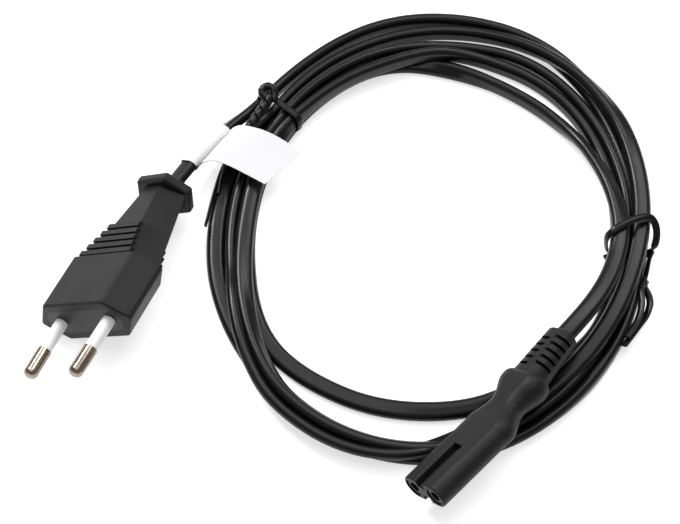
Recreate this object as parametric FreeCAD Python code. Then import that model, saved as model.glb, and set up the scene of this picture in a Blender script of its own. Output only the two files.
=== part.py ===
import FreeCAD, Part
import math
import os

# A mains lead: a two-pin plug and a figure-eight connector, joined by a flat twin cord that is wound
# into a loose oval coil. The lead lies on a table: +Z is up, Z = 0 is the table top, and the origin is
# under the middle of the box round the plug and the connector. All sizes are in millimetres.

Vector = FreeCAD.Vector
Rotation = FreeCAD.Rotation

# Where the plug and the connector lie. Heading is the way their front end points, counted from +X.
PLUG_FRONT_X = -57.7
PLUG_FRONT_Y = 2.1
PLUG_HEADING = 246.6
PLUG_PITCH = 6.6
PLUG_ROLL = 35.7
CONNECTOR_FRONT_X = 31.8
CONNECTOR_FRONT_Y = -45.9
CONNECTOR_FRONT_Z = 11.5
CONNECTOR_HEADING = 225.6
CONNECTOR_PITCH = 0.0
CONNECTOR_ROLL = 37.5

# Plug body: a hexagonal block, a tapering neck with ribs across its flats, and a collar.
BLOCK_WIDTH = 35.3
BLOCK_FLAT = 22.8
BLOCK_THICKNESS = 13.7
BLOCK_LENGTH = 18.3
BLOCK_EDGE_RADIUS = 1.4
BLOCK_FRONT_RADIUS = 0.7
NECK_ROOT_WIDTH = 32.6
NECK_ROOT_FLAT = 19.6
NECK_ROOT_THICKNESS = 12.2
NECK_MIDDLE_WIDTH = 25.8
NECK_MIDDLE_FLAT = 10.4
NECK_MIDDLE_THICKNESS = 11.0
NECK_END_WIDTH = 17.8
NECK_END_FLAT = 5.6
NECK_END_THICKNESS = 10.0
NECK_RIBBED_LENGTH = 12.8
NECK_SMOOTH_LENGTH = 15.1
RIB_COUNT = 5
RIB_BASE_LENGTH = 2.1
RIB_CREST_LENGTH = 1.6
RIB_HEIGHT = 0.8
RIB_SINK = 1.4
RIB_OVERHANG = 0.5
COLLAR_WIDTH = 19.8
COLLAR_FLAT = 10.6
COLLAR_THICKNESS = 14.0
COLLAR_LENGTH = 3.2
COLLAR_EDGE_RADIUS = 1.0

# Pins, their sleeves and the bridge that holds them.
PIN_DIAMETER = 4.0
PIN_LENGTH = 19.0
PIN_SPACING_AT_FACE = 18.6
PIN_SPACING_AT_TIPS = 17.5
PIN_BARE_LENGTH = 9.0
PIN_TIP_RADIUS = 1.5
PIN_SHANK_DIAMETER = 2.9
PIN_ROOT_LENGTH = 9.0
PIN_FLANGE_DIAMETER = 5.0
PIN_FLANGE_LENGTH = 1.6
PIN_FLANGE_DEPTH = 3.0
SLEEVE_DIAMETER = 3.6
SLEEVE_SINK = 2.0
BRIDGE_WIDTH = 27.0
BRIDGE_THICKNESS = 8.4
BRIDGE_DEPTH = 8.0

# The flat twin cord and what is inside it.
CORD_WIDTH = 5.4
CORD_THICKNESS = 3.4
CORE_DIAMETER = 2.0
CORE_SPACING = 2.3
WIRE_DIAMETER = 1.1
WIRE_IN_CRIMP = 4.0
WIRE_IN_CORE = 2.0
WIRE_BARED = 0.6

# Connector body: a figure-eight nose, a slim grip with a waist, ears, and a slotted strain relief. Its soft
# rear half, behind the contact carrier, is bent a little to one side.
CONTACT_SPACING = 8.6
NOSE_WIDTH = 15.4
NOSE_THICKNESS = 7.2
NOSE_LENGTH = 24.0
NOSE_EDGE_RADIUS = 0.5
GROOVE_WIDTH = 3.0
GROOVE_DEPTH = 2.1
GROOVE_LENGTH = 15.0
GROOVE_EDGE_RADIUS = 0.6
BEND_PLACE = 26.0
BEND_ANGLE = 7.0
GRIP_TURN_IN = 0.35
GRIP_TURN_IN_SHARE = 0.15
GRIP_TURN_OUT = 0.6
GRIP_TURN_OUT_SHARE = 0.75
WAIST_WIDTH = 10.6
WAIST_THICKNESS = 7.4
WAIST_PLACE = 33.6
EAR_WIDTH = 15.0
EAR_THICKNESS = 9.2
EAR_PLACE = 41.0
EAR_BACK_RADIUS = 2.2
RELIEF_ROOT_WIDTH = 10.8
RELIEF_ROOT_THICKNESS = 8.6
RELIEF_END_WIDTH = 9.2
RELIEF_END_THICKNESS = 7.0
RELIEF_PLACE = 43.4
CONNECTOR_LENGTH = 59.3
RELIEF_END_RADIUS = 0.8
SLOT_ROWS = 4
SLOT_COUNT = 5
SLOT_WIDTH = 1.0
SLOT_PITCH = 2.45
SLOT_FIRST = 46.4
SLOT_DEPTH = 1.3
SLOT_SPAN = 4.8
SLOT_TURN = -60.0

# Carrier and socket contacts inside the connector.
CARRIER_TUBE_DIAMETER = 5.4
CARRIER_BORE = 3.0
CARRIER_LENGTH = 18.0
CARRIER_SET_BACK = 0.4
CARRIER_WEB_THICKNESS = 2.4
CONTACT_BORE = 2.4
CONTACT_SET_BACK = 3.0
CONTACT_DEPTH = 12.0
BARREL_DIAMETER = 2.2
BARREL_LENGTH = 5.0

# The coil: a loose oval ring, lower where only a single layer of turns lies.
COIL_OUTER = {"centre": (36.4, 39.5), "long": 75.5, "short": 62.1, "turn": 78.4}
COIL_INNER = {"centre": (35.2, 36.3), "long": 54.1, "short": 51.2, "turn": 98.8}
COIL_LOW_HEIGHT = 5.6
COIL_LOW_Y = -35.4
COIL_HIGH_HEIGHT = 9.6
COIL_HIGH_Y = 113.6
COIL_TOP_RADIUS = 2.2
COIL_GAP_ENDS = ((-10.6, -2.9), (57.4, -17.4))
COIL_GAP_INSIDE = (19.7, -20.4)
COIL_GAP_OUTSIDE = (20.9, -27.4)
BED_CLEARANCE = 0.3

# Routes of the cord's loose ends, from the collar and from the strain relief into the coil.
PLUG_TAIL_POINTS = [(-34.3, 54.2, 8.4), (-28.6, 62.7, 7.6), (-21.3, 71.1, 6.2), (-10.2, 81.3, 4.4)]
CONNECTOR_TAIL_POINTS = [(77.4, 7.1, 11.0), (83.9, 16.6, 9.6), (88.9, 29.1, 7.2)]
ROUTE_ARC_SHARE = 0.45
TAIL_SINK = 1.0

# Twist ties and the paper flag.
TIE_WIDTH = 2.0
TIE_THICKNESS = 0.8
TIE_CLEARANCE = 0.4
TIE_LEFT_ANGLE = 140.0
TIE_RIGHT_ANGLE = -6.0
TIE_STEM_DIAMETER = 2.2
TIE_LEFT_STEM_POINTS = [(-14.4, 69.1, 11.0)]
TIE_RIGHT_STEM_POINTS = [(96.6, 13.0, 5.0), (91.6, 2.5, 5.0)]
TIE_LOOP_DIAMETER = 5.0
TIE_LOOP_WIRE = 1.4
LABEL_THICKNESS = 0.3
LABEL_HEIGHT = 14.6
LABEL_REACH = 24.0
LABEL_CLEARANCE = 0.9
LABEL_LIFT = 11.2


SIDES = {"left": 1, "right": -1}


def pose(front, heading, pitch, roll):
    """Way from a piece's own frame, front end along +Y, to how it lies on the table."""
    turn = Rotation(Vector(0, 0, 1), heading - 90.0)
    turn = turn.multiply(Rotation(Vector(1, 0, 0), pitch))
    turn = turn.multiply(Rotation(Vector(0, 1, 0), roll))
    return FreeCAD.Placement(front, turn)


def lay(shape, place):
    placed = shape.copy()
    placed.Placement = place.multiply(shape.Placement)
    return placed


def hexagon(y, width, flat, thickness):
    """Closed outline across the Y axis: two flats, and sloping sides that meet at the middle."""
    half_width, half_flat, half_thickness = width / 2, flat / 2, thickness / 2
    corners = [
        Vector(half_width, y, 0),
        Vector(half_flat, y, half_thickness),
        Vector(-half_flat, y, half_thickness),
        Vector(-half_width, y, 0),
        Vector(-half_flat, y, -half_thickness),
        Vector(half_flat, y, -half_thickness),
    ]
    return Part.makePolygon(corners + corners[:1])


def stadium(y, width, thickness):
    """Closed outline across the Y axis: two flat sides joined by half-round ends."""
    radius = thickness / 2
    reach = width / 2 - radius
    top = Part.LineSegment(Vector(-reach, y, radius), Vector(reach, y, radius))
    right = Part.Arc(Vector(reach, y, radius), Vector(width / 2, y, 0), Vector(reach, y, -radius))
    bottom = Part.LineSegment(Vector(reach, y, -radius), Vector(-reach, y, -radius))
    left = Part.Arc(Vector(-reach, y, -radius), Vector(-width / 2, y, 0), Vector(-reach, y, radius))
    return Part.Wire([edge.toShape() for edge in (top, right, bottom, left)])


def prism(outline, length):
    """Solid of an outline carried backwards along Y."""
    return Part.Face(outline).extrude(Vector(0, -length, 0))


def rod(start, end, diameter):
    """Round bar between two points."""
    along = end - start
    return Part.makeCylinder(diameter / 2, along.Length, start, along)


def core_rod(front, back, stop):
    """Insulated core that ends flush with the room behind a moulding."""
    along = back - front
    along.normalize()
    return rod(front, back + along * CORE_DIAMETER, CORE_DIAMETER).cut(stop)


def room_behind(length):
    """Room behind a moulding of that length, in the moulding's own frame."""
    size = 4 * CORE_DIAMETER
    return Part.makeBox(2 * size, size, 2 * size, Vector(-size, -length - size, -size))


def edges_at(shape, y):
    """The edges of a piece that lie in one plane across Y."""
    return [edge for edge in shape.Edges if all(abs(vertex.Y - y) < 1e-6 for vertex in edge.Vertexes)]


def edges_along(shape):
    """The straight edges of a piece that run along Y."""
    found = []
    for edge in shape.Edges:
        ends = [vertex.Point for vertex in edge.Vertexes]
        if len(ends) == 2 and abs(ends[0].x - ends[1].x) < 1e-6 and abs(ends[0].z - ends[1].z) < 1e-6:
            found.append(edge)
    return found


def between(a, b, share):
    return a + (b - a) * share


def plug_block():
    block = prism(hexagon(0, BLOCK_WIDTH, BLOCK_FLAT, BLOCK_THICKNESS), BLOCK_LENGTH)
    block = block.makeFillet(BLOCK_EDGE_RADIUS, edges_along(block))
    return block.makeFillet(BLOCK_FRONT_RADIUS, edges_at(block, 0))


def plug_neck():
    root = -BLOCK_LENGTH
    middle = root - NECK_RIBBED_LENGTH
    end = middle - NECK_SMOOTH_LENGTH
    sections = [
        hexagon(root, NECK_ROOT_WIDTH, NECK_ROOT_FLAT, NECK_ROOT_THICKNESS),
        hexagon(middle, NECK_MIDDLE_WIDTH, NECK_MIDDLE_FLAT, NECK_MIDDLE_THICKNESS),
        hexagon(end, NECK_END_WIDTH, NECK_END_FLAT, NECK_END_THICKNESS),
    ]
    return Part.makeLoft(sections, True, True)


def plug_ribs():
    """Low bars across both flats of the neck, each a step narrower than the one before it."""
    ribs = []
    pitch = NECK_RIBBED_LENGTH / RIB_COUNT
    for number in range(RIB_COUNT):
        share = (number + 0.5) / RIB_COUNT
        y = -BLOCK_LENGTH - (number + 0.5) * pitch
        flat = between(NECK_ROOT_FLAT, NECK_MIDDLE_FLAT, share)
        surface = between(NECK_ROOT_THICKNESS, NECK_MIDDLE_THICKNESS, share) / 2
        half_width = flat / 2 + RIB_OVERHANG
        for side in (1, -1):
            foot = side * (surface - RIB_SINK)
            crest = side * (surface + RIB_HEIGHT)
            profile = Part.makePolygon([
                Vector(-half_width, y + RIB_BASE_LENGTH / 2, foot),
                Vector(-half_width, y + RIB_CREST_LENGTH / 2, crest),
                Vector(-half_width, y - RIB_CREST_LENGTH / 2, crest),
                Vector(-half_width, y - RIB_BASE_LENGTH / 2, foot),
                Vector(-half_width, y + RIB_BASE_LENGTH / 2, foot),
            ])
            ribs.append(Part.Face(profile).extrude(Vector(2 * half_width, 0, 0)))
    return ribs


def plug_length():
    return BLOCK_LENGTH + NECK_RIBBED_LENGTH + NECK_SMOOTH_LENGTH + COLLAR_LENGTH


def plug_collar():
    front = -plug_length() + COLLAR_LENGTH
    collar = prism(hexagon(front, COLLAR_WIDTH, COLLAR_FLAT, COLLAR_THICKNESS), COLLAR_LENGTH)
    return collar.makeFillet(COLLAR_EDGE_RADIUS, collar.Edges)


def plug_outside():
    pieces = [plug_neck(), plug_collar()] + plug_ribs()
    return plug_block().fuse(pieces).removeSplitter()


def pin_bridge():
    return prism(stadium(0, BRIDGE_WIDTH, BRIDGE_THICKNESS), BRIDGE_DEPTH)


def pin_lean():
    """Angle by which each pin leans towards the other, in degrees."""
    return math.degrees(math.atan((PIN_SPACING_AT_FACE - PIN_SPACING_AT_TIPS) / 2 / PIN_LENGTH))


def on_pin_axis(shape, side):
    """Puts a piece made round the Y axis onto the axis of the pin on that side."""
    placed = shape.copy()
    foot = Vector(side * PIN_SPACING_AT_FACE / 2, 0, 0)
    placed.Placement = FreeCAD.Placement(foot, Rotation(Vector(0, 0, 1), side * pin_lean()))
    return placed


def point_on_pin(side, y):
    lean = math.radians(pin_lean())
    return Vector(side * (PIN_SPACING_AT_FACE / 2 - math.sin(lean) * y), math.cos(lean) * y, 0)


def pin(side):
    radius, shank = PIN_DIAMETER / 2, PIN_SHANK_DIAMETER / 2
    step = PIN_LENGTH - PIN_BARE_LENGTH
    bend = PIN_TIP_RADIUS * (1 - math.sqrt(0.5))
    half_section = [
        Part.LineSegment(Vector(0, -PIN_ROOT_LENGTH, 0), Vector(shank, -PIN_ROOT_LENGTH, 0)),
        Part.LineSegment(Vector(shank, -PIN_ROOT_LENGTH, 0), Vector(shank, step, 0)),
        Part.LineSegment(Vector(shank, step, 0), Vector(radius, step, 0)),
        Part.LineSegment(Vector(radius, step, 0), Vector(radius, PIN_LENGTH - PIN_TIP_RADIUS, 0)),
        Part.Arc(
            Vector(radius, PIN_LENGTH - PIN_TIP_RADIUS, 0),
            Vector(radius - bend, PIN_LENGTH - bend, 0),
            Vector(radius - PIN_TIP_RADIUS, PIN_LENGTH, 0),
        ),
        Part.LineSegment(Vector(radius - PIN_TIP_RADIUS, PIN_LENGTH, 0), Vector(0, PIN_LENGTH, 0)),
        Part.LineSegment(Vector(0, PIN_LENGTH, 0), Vector(0, -PIN_ROOT_LENGTH, 0)),
    ]
    outline = Part.Wire([piece.toShape() for piece in half_section])
    body = Part.Face(outline).revolve(Vector(0, 0, 0), Vector(0, 1, 0), 360)
    flange_front = Vector(0, -PIN_FLANGE_DEPTH, 0)
    flange = rod(flange_front, flange_front - Vector(0, PIN_FLANGE_LENGTH, 0), PIN_FLANGE_DIAMETER)
    return on_pin_axis(body.fuse(flange).removeSplitter(), side)


def pin_sleeve(side):
    """White sleeve on the shank of a pin, its foot sunk in the bridge."""
    foot, end = Vector(0, -SLEEVE_SINK, 0), Vector(0, PIN_LENGTH - PIN_BARE_LENGTH, 0)
    sleeve = rod(foot, end, SLEEVE_DIAMETER).cut(rod(foot, end, PIN_SHANK_DIAMETER))
    return on_pin_axis(sleeve, side)


def plug_wire(side):
    """Bared copper end: from inside the pin's crimp hole to inside its core."""
    front = point_on_pin(side, -PIN_ROOT_LENGTH + WIRE_IN_CRIMP)
    back = point_on_pin(side, -PIN_ROOT_LENGTH - WIRE_BARED - WIRE_IN_CORE)
    return rod(front, back, WIRE_DIAMETER)


def plug_core(side):
    front = point_on_pin(side, -PIN_ROOT_LENGTH - WIRE_BARED)
    back = Vector(side * CORE_SPACING / 2, -plug_length(), 0)
    return core_rod(front, back, room_behind(plug_length()))


def groove():
    """Room of the groove along the upper broad face of the nose, with rounded shoulders."""
    half, rim = GROOVE_WIDTH / 2, GROOVE_WIDTH / 2 + GROOVE_EDGE_RADIUS
    surface = NOSE_THICKNESS / 2
    floor, shoulder, above = surface - GROOVE_DEPTH, surface - GROOVE_EDGE_RADIUS, surface + GROOVE_DEPTH
    bend = GROOVE_EDGE_RADIUS * math.sqrt(0.5)
    outline = []
    for side in (1, -1):
        outline += [
            Part.LineSegment(Vector(0, 0, floor), Vector(side * half, 0, floor)),
            Part.LineSegment(Vector(side * half, 0, floor), Vector(side * half, 0, shoulder)),
            Part.Arc(
                Vector(side * half, 0, shoulder),
                Vector(side * (rim - bend), 0, shoulder + bend),
                Vector(side * rim, 0, surface),
            ),
            Part.LineSegment(Vector(side * rim, 0, surface), Vector(side * rim, 0, above)),
            Part.LineSegment(Vector(side * rim, 0, above), Vector(0, 0, above)),
        ]
    edges = Part.sortEdges([piece.toShape() for piece in outline])[0]
    return prism(Part.Wire(edges), GROOVE_LENGTH)


def nose():
    """Figure-eight nose: a flat slab with half-round sides and a groove along each broad face."""
    slab = prism(stadium(0, NOSE_WIDTH, NOSE_THICKNESS), NOSE_LENGTH)
    slab = slab.makeFillet(NOSE_EDGE_RADIUS, edges_at(slab, 0))
    upper = groove()
    lower = groove()
    lower.rotate(Vector(0, 0, 0), Vector(0, 1, 0), 180)
    return slab.cut([upper, lower])


def bend():
    """Turn of the connector's rear half, about a line that stands upright on the table."""
    roll = math.radians(CONNECTOR_ROLL)
    upright = Vector(-math.sin(roll), 0, math.cos(roll))
    return FreeCAD.Placement(Vector(0, 0, 0), Rotation(upright, BEND_ANGLE), Vector(0, -BEND_PLACE, 0))


def grip():
    """Smooth stretch from the nose through the waist to the ears."""
    rear_sections = [
        stadium(
            between(-NOSE_LENGTH, -WAIST_PLACE, GRIP_TURN_IN),
            between(NOSE_WIDTH, WAIST_WIDTH, GRIP_TURN_IN_SHARE),
            between(NOSE_THICKNESS, WAIST_THICKNESS, GRIP_TURN_IN_SHARE),
        ),
        stadium(-WAIST_PLACE, WAIST_WIDTH, WAIST_THICKNESS),
        stadium(
            between(-WAIST_PLACE, -EAR_PLACE, GRIP_TURN_OUT),
            between(WAIST_WIDTH, EAR_WIDTH, GRIP_TURN_OUT_SHARE),
            between(WAIST_THICKNESS, EAR_THICKNESS, GRIP_TURN_OUT_SHARE),
        ),
        stadium(-EAR_PLACE, EAR_WIDTH, EAR_THICKNESS),
    ]
    sections = [stadium(-NOSE_LENGTH, NOSE_WIDTH, NOSE_THICKNESS)]
    sections += [lay(section, bend()) for section in rear_sections]
    return Part.makeLoft(sections, True, False)


def ears():
    block = prism(stadium(-EAR_PLACE, EAR_WIDTH, EAR_THICKNESS), RELIEF_PLACE - EAR_PLACE)
    return block.makeFillet(EAR_BACK_RADIUS, edges_at(block, -RELIEF_PLACE))


def strain_relief():
    root = stadium(-EAR_PLACE, RELIEF_ROOT_WIDTH, RELIEF_ROOT_THICKNESS)
    end = stadium(-CONNECTOR_LENGTH, RELIEF_END_WIDTH, RELIEF_END_THICKNESS)
    relief = Part.makeLoft([root, end], True, True)
    return relief.makeFillet(RELIEF_END_RADIUS, edges_at(relief, -CONNECTOR_LENGTH))


def relief_slots():
    """Slots that let the strain relief bend: rows of pockets round it, with every second row staggered."""
    slots = []
    for row in range(SLOT_ROWS):
        for number in range(SLOT_COUNT):
            y = -SLOT_FIRST - (number - row % 2 / 2) * SLOT_PITCH
            share = (-y - EAR_PLACE) / (CONNECTOR_LENGTH - EAR_PLACE)
            width = between(RELIEF_ROOT_WIDTH, RELIEF_END_WIDTH, share)
            thickness = between(RELIEF_ROOT_THICKNESS, RELIEF_END_THICKNESS, share)
            floor = (width + thickness) / 4 - SLOT_DEPTH
            corner = Vector(-SLOT_SPAN / 2, y - SLOT_WIDTH / 2, floor)
            slot = Part.makeBox(SLOT_SPAN, SLOT_WIDTH, 2 * SLOT_DEPTH, corner)
            slot.rotate(Vector(0, 0, 0), Vector(0, 1, 0), SLOT_TURN + row * 360 / SLOT_ROWS)
            slots.append(slot)
    return slots


def connector_outside():
    rear = ears().fuse(strain_relief()).cut(relief_slots())
    return nose().fuse([grip(), lay(rear, bend())]).removeSplitter()


def contact_carrier():
    """Two tubes for the contacts, joined by a web."""
    tubes, bores = [], []
    for side in (1, -1):
        mouth = Vector(side * CONTACT_SPACING / 2, -CARRIER_SET_BACK, 0)
        back = Vector(side * CONTACT_SPACING / 2, -CARRIER_LENGTH, 0)
        tubes.append(rod(mouth, back, CARRIER_TUBE_DIAMETER))
        bores.append(rod(mouth, back, CARRIER_BORE))
    web = Part.makeBox(
        CONTACT_SPACING, CARRIER_LENGTH - CONTACT_SET_BACK, CARRIER_WEB_THICKNESS,
        Vector(-CONTACT_SPACING / 2, -CARRIER_LENGTH, -CARRIER_WEB_THICKNESS / 2),
    )
    return tubes[0].fuse([tubes[1], web]).cut(bores).removeSplitter()


def contact(side):
    """Socket tube with a crimp barrel behind it."""
    axis = side * CONTACT_SPACING / 2
    mouth = Vector(axis, -CONTACT_SET_BACK, 0)
    back = Vector(axis, -CARRIER_LENGTH, 0)
    tube = rod(mouth, back, CARRIER_BORE)
    barrel = rod(back, back - Vector(0, BARREL_LENGTH, 0), BARREL_DIAMETER)
    bore = rod(mouth, mouth - Vector(0, CONTACT_DEPTH, 0), CONTACT_BORE)
    return tube.fuse(barrel).cut(bore).removeSplitter()


def connector_wire(side):
    barrel_back = Vector(side * CONTACT_SPACING / 2, -CARRIER_LENGTH - BARREL_LENGTH, 0)
    front = barrel_back + Vector(0, WIRE_IN_CRIMP, 0)
    back = barrel_back - Vector(0, WIRE_BARED + WIRE_IN_CORE, 0)
    return rod(front, back, WIRE_DIAMETER)


def connector_core(side):
    front = Vector(side * CONTACT_SPACING / 2, -CARRIER_LENGTH - BARREL_LENGTH - WIRE_BARED, 0)
    back = bend().multVec(Vector(side * CORE_SPACING / 2, -CONNECTOR_LENGTH, 0))
    return core_rod(front, back, lay(room_behind(CONNECTOR_LENGTH), bend()))


def cord_path(points):
    """Straight runs joined by tangent arcs, each as large as its two runs allow."""
    edges, radii = [], []
    start = points[0]
    for before, corner, after in zip(points, points[1:], points[2:]):
        back, ahead = before - corner, after - corner
        reach = ROUTE_ARC_SHARE * min(back.Length, ahead.Length)
        turn = math.pi - back.getAngle(ahead)
        radii.append(reach / math.tan(turn / 2))
        back.normalize()
        ahead.normalize()
        first, last = corner + back * reach, corner + ahead * reach
        middle = back + ahead
        middle.normalize()
        apex = corner + middle * (radii[-1] / math.cos(turn / 2) - radii[-1])
        edges.append(Part.LineSegment(start, first).toShape())
        edges.append(Part.Arc(first, apex, last).toShape())
        start = last
    edges.append(Part.LineSegment(start, points[-1]).toShape())
    print("arc radii", [round(radius, 1) for radius in radii])
    return Part.Wire(edges)


def cord_tube(points):
    """Flat twin cord standing on its narrow edge along a route."""
    path = cord_path(points)
    section = stadium(0, CORD_WIDTH, CORD_THICKNESS)
    section.rotate(Vector(0, 0, 0), Vector(0, 1, 0), 90)
    along = points[1] - points[0]
    along.normalize()
    across = along.cross(Vector(0, 0, 1))
    upright = across.cross(along)
    section.Placement = FreeCAD.Placement(points[0], Rotation(across, along, upright, "YZX")).multiply(
        section.Placement
    )
    sweep = Part.BRepOffsetAPI.MakePipeShell(path)
    sweep.setBiNormalMode(Vector(0, 0, 1))
    sweep.add(section)
    sweep.build()
    sweep.makeSolid()
    tube = sweep.shape()
    area = Part.Face(section).Area
    print("tube volume", round(tube.Volume, 1), "section times length", round(area * path.Length, 1))
    return tube


def oval(sizes):
    """Flat face bounded by one of the coil's outlines, whichever of its half axes is the longer."""
    shorter, longer = sorted((sizes["long"], sizes["short"]))
    quarter = 90 if sizes["short"] > sizes["long"] else 0
    face = Part.Face(Part.Wire([Part.Ellipse(Vector(0, 0, 0), longer, shorter).toShape()]))
    face.rotate(Vector(0, 0, 0), Vector(0, 0, 1), sizes["turn"] + quarter)
    face.translate(Vector(sizes["centre"][0], sizes["centre"][1], 0))
    return face


def oval_distance(sizes, angle):
    """Distance from the outer outline's centre to an outline, along a ray at that angle."""
    turn = math.radians(sizes["turn"])
    heading = math.radians(angle)
    offset_x = COIL_OUTER["centre"][0] - sizes["centre"][0]
    offset_y = COIL_OUTER["centre"][1] - sizes["centre"][1]
    start_u = (offset_x * math.cos(turn) + offset_y * math.sin(turn)) / sizes["long"]
    start_v = (offset_y * math.cos(turn) - offset_x * math.sin(turn)) / sizes["short"]
    step_u = math.cos(heading - turn) / sizes["long"]
    step_v = math.sin(heading - turn) / sizes["short"]
    a = step_u**2 + step_v**2
    b = start_u * step_u + start_v * step_v
    c = start_u**2 + start_v**2 - 1
    return (-b + math.sqrt(b * b - a * c)) / a


def coil_slope():
    return (COIL_HIGH_HEIGHT - COIL_LOW_HEIGHT) / (COIL_HIGH_Y - COIL_LOW_Y)


def coil_height(y):
    return COIL_LOW_HEIGHT + coil_slope() * (y - COIL_LOW_Y)


def coil_wall():
    """Narrowest width of the coil's ring."""
    ways = range(360)
    return min(oval_distance(COIL_OUTER, way) - oval_distance(COIL_INNER, way) for way in ways)


def coil_ring():
    """Oval ring whose top slopes from the double layer of turns down to the single layer."""
    ring = oval(COIL_OUTER).cut(oval(COIL_INNER)).extrude(Vector(0, 0, 2 * COIL_HIGH_HEIGHT))
    span = 2 * COIL_OUTER["long"]
    lid = Part.makeBox(2 * span, 2 * span, 2 * COIL_HIGH_HEIGHT, Vector(-span, -span, 0))
    lid.rotate(Vector(0, 0, 0), Vector(1, 0, 0), math.degrees(math.atan(coil_slope())))
    lid.translate(Vector(0, 0, coil_height(0)))
    ring = ring.cut(lid)
    upper = [edge for edge in ring.Edges if edge.BoundBox.ZMin > COIL_LOW_HEIGHT / 2]
    rims = [edge for edge in upper if edge.Length > 2 * COIL_HIGH_HEIGHT]
    return ring.makeFillet(min(COIL_TOP_RADIUS, coil_wall() / 3), rims)


def coil_gap():
    """Crescent where the innermost turn parts from the rest."""
    first, last = [Vector(x, y, 0) for x, y in COIL_GAP_ENDS]
    inside = Part.Arc(first, Vector(COIL_GAP_INSIDE[0], COIL_GAP_INSIDE[1], 0), last)
    outside = Part.Arc(last, Vector(COIL_GAP_OUTSIDE[0], COIL_GAP_OUTSIDE[1], 0), first)
    crescent = Part.Face(Part.Wire([inside.toShape(), outside.toShape()]))
    return crescent.extrude(Vector(0, 0, 2 * COIL_HIGH_HEIGHT))


def connector_bed(place):
    """Room that the connector takes in the turns under it, in its straight part and its bent part."""
    room = 2 * BED_CLEARANCE
    straight = prism(stadium(BED_CLEARANCE, NOSE_WIDTH + room, NOSE_THICKNESS + room), BEND_PLACE + room)
    rear = stadium(-BEND_PLACE, EAR_WIDTH + room, EAR_THICKNESS + room)
    rear = prism(rear, CONNECTOR_LENGTH - BEND_PLACE + BED_CLEARANCE)
    return [lay(straight, place), lay(lay(rear, bend()), place)]


def tie_frame(angle):
    """Where a tie goes round the coil: a point on the inner outline, the way out, and the ring's width."""
    inner = oval_distance(COIL_INNER, angle)
    outer = oval_distance(COIL_OUTER, angle)
    out = Vector(math.cos(math.radians(angle)), math.sin(math.radians(angle)), 0)
    foot = Vector(COIL_OUTER["centre"][0], COIL_OUTER["centre"][1], 0) + out * inner
    return foot, out, outer - inner


def tie_band(angle):
    """Flat band round the coil, closed under it, and the place where its ends are twisted together."""
    foot, out, width = tie_frame(angle)
    height = coil_height(foot.y + out.y * width / 2)
    wall = TIE_THICKNESS + TIE_CLEARANCE
    outside = Part.makeBox(
        width + 2 * wall, TIE_WIDTH, height + TIE_CLEARANCE + TIE_THICKNESS, Vector(-wall, -TIE_WIDTH / 2, 0)
    )
    inside = Part.makeBox(
        width + 2 * TIE_CLEARANCE, TIE_WIDTH, height + TIE_CLEARANCE - TIE_THICKNESS,
        Vector(-TIE_CLEARANCE, -TIE_WIDTH / 2, TIE_THICKNESS),
    )
    band = outside.makeFillet(TIE_THICKNESS, edges_along(outside)).cut(inside)
    band.Placement = FreeCAD.Placement(foot, Rotation(Vector(0, 0, 1), angle))
    corner = foot + out * (width + TIE_CLEARANCE)
    return band, corner, height + TIE_CLEARANCE


def tie_stem(points):
    """Twisted ends of a tie, as a round bar along its points."""
    bars = [rod(start, end, TIE_STEM_DIAMETER) for start, end in zip(points, points[1:])]
    knobs = [Part.makeSphere(TIE_STEM_DIAMETER / 2, point) for point in points]
    return bars + knobs


def twist_tie_left():
    """Band with a loop at its outer corner and a short stem along the coil."""
    band, corner, height = tie_band(TIE_LEFT_ANGLE)
    knot = corner + Vector(0, 0, height)
    stem = tie_stem([knot] + [Vector(*point) for point in TIE_LEFT_STEM_POINTS])
    ring_radius = (TIE_LOOP_DIAMETER - TIE_LOOP_WIRE) / 2
    out = Rotation(Vector(0, 0, 1), TIE_LEFT_ANGLE).multVec(Vector(1, 0, 0))
    loop = Part.makeTorus(ring_radius, TIE_LOOP_WIRE / 2, knot + out * ring_radius, Vector(0, 0, 1))
    return band.fuse(stem + [loop]).removeSplitter()


def twist_tie_right():
    """Band with a stem that lies along the outside of the coil."""
    band, corner, height = tie_band(TIE_RIGHT_ANGLE)
    knot = corner + Vector(0, 0, height / 2)
    stem = tie_stem([knot] + [Vector(*point) for point in TIE_RIGHT_STEM_POINTS])
    return band.fuse(stem).removeSplitter()


def cord_label(route):
    """Paper strip folded round the cord, its two ends stuck together as a flag over the coil."""
    middle = route[2]
    before, after = route[2] - route[1], route[3] - route[2]
    before.normalize()
    after.normalize()
    along = before + after
    along.normalize()
    across = along.cross(Vector(0, 0, 1))
    across.normalize()
    half_width = CORD_THICKNESS / 2 + LABEL_CLEARANCE
    low = -CORD_WIDTH / 2 - LABEL_CLEARANCE
    flag = LABEL_LIFT - middle.z
    edge = half_width + LABEL_THICKNESS
    outline = Part.makePolygon([
        Vector(-edge, 0, low - LABEL_THICKNESS),
        Vector(-edge, 0, flag),
        Vector(LABEL_REACH, 0, flag),
        Vector(LABEL_REACH, 0, flag - LABEL_THICKNESS),
        Vector(edge, 0, flag - LABEL_THICKNESS),
        Vector(edge, 0, low - LABEL_THICKNESS),
        Vector(-edge, 0, low - LABEL_THICKNESS),
    ])
    sheet = Part.Face(outline).extrude(Vector(0, LABEL_HEIGHT, 0))
    corner = Vector(-half_width, 0, low)
    room = Part.makeBox(2 * half_width, LABEL_HEIGHT, flag - LABEL_THICKNESS - low, corner)
    paper = sheet.cut(room)
    paper.translate(Vector(0, -LABEL_HEIGHT / 2, 0))
    upright = across.cross(along)
    place = FreeCAD.Placement(middle, Rotation(across, along, upright, "YZX"))
    paper.Placement = place.multiply(paper.Placement)
    return paper


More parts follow.
